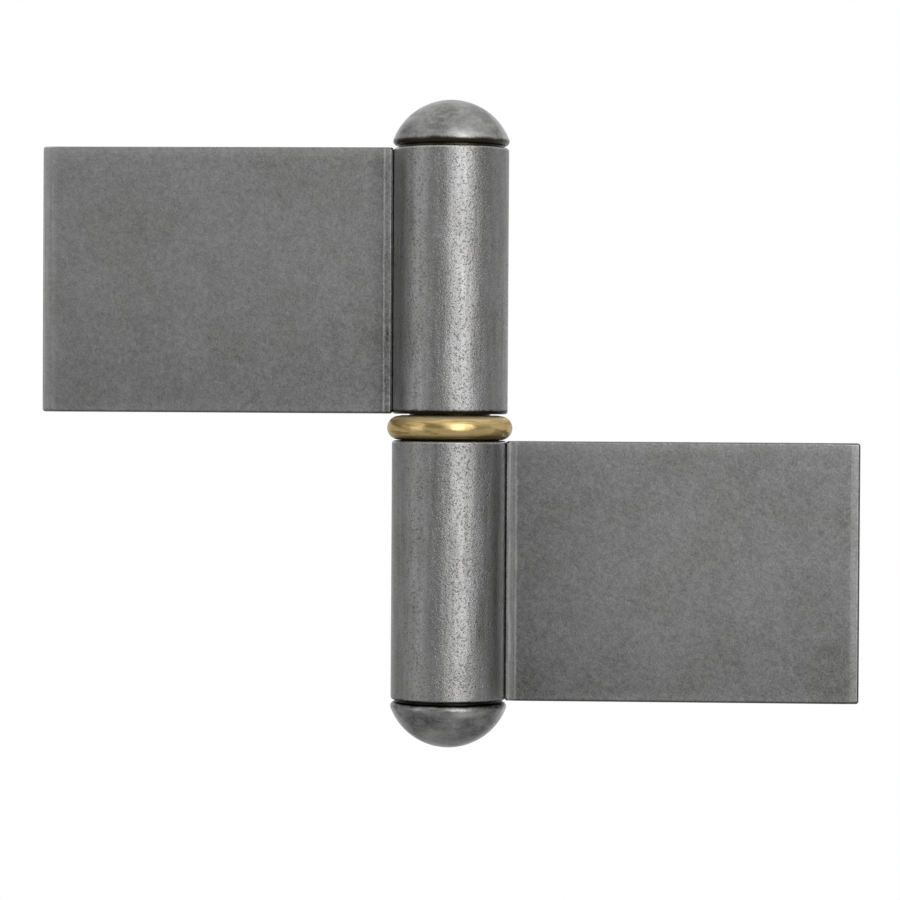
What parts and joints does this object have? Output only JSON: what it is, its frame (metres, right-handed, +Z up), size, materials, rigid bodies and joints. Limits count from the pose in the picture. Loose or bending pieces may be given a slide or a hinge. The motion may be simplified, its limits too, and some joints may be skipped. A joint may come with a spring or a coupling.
{
  "type": "weld-on hinge",
  "caption": "Lift-off weld-on hinge: flat steel leaves butt-welded to round barrels that turn on a fixed pin, with a brass bearing ring between the halves and domed end caps.",
  "frame": {"origin": "on the pin axis, half way between the tips of the lower and upper caps", "axes": "+Z up along the pin, +X towards the lower leaf, +Y through the leaves from the face that the picture shows to their backs"},
  "size_m": [0.1414, 0.0216, 0.112],
  "materials": {
    "barrel_steel": "bare cold-drawn tube, finely pitted, satin",
    "leaf_steel": "bare tumbled flat bar, dull satin",
    "cap_steel": "bare pressed steel, satin",
    "pin_steel": "bright drawn",
    "ring_brass": "turned and polished"
  },
  "bodies": {
    "lower_half": {"lower_barrel": "barrel_steel", "lower_leaf": "leaf_steel", "lower_cap": "cap_steel", "hinge_pin": "pin_steel"},
    "ring": {"bearing_ring": "ring_brass"},
    "upper_half": {"upper_barrel": "barrel_steel", "upper_leaf": "leaf_steel", "upper_cap": "cap_steel"}
  },
  "joints": [
    {"name": "swing", "type": "hinge", "parent": "lower_half", "child": "ring", "pos_m": [0, 0, -0.00068], "axis": [0, 0, 1], "continuous": true},
    {"name": "lift_off", "type": "slide", "parent": "ring", "child": "upper_half", "axis": [0, 0, 1], "range_m": [-0.00025, 0.04]}
  ]
}
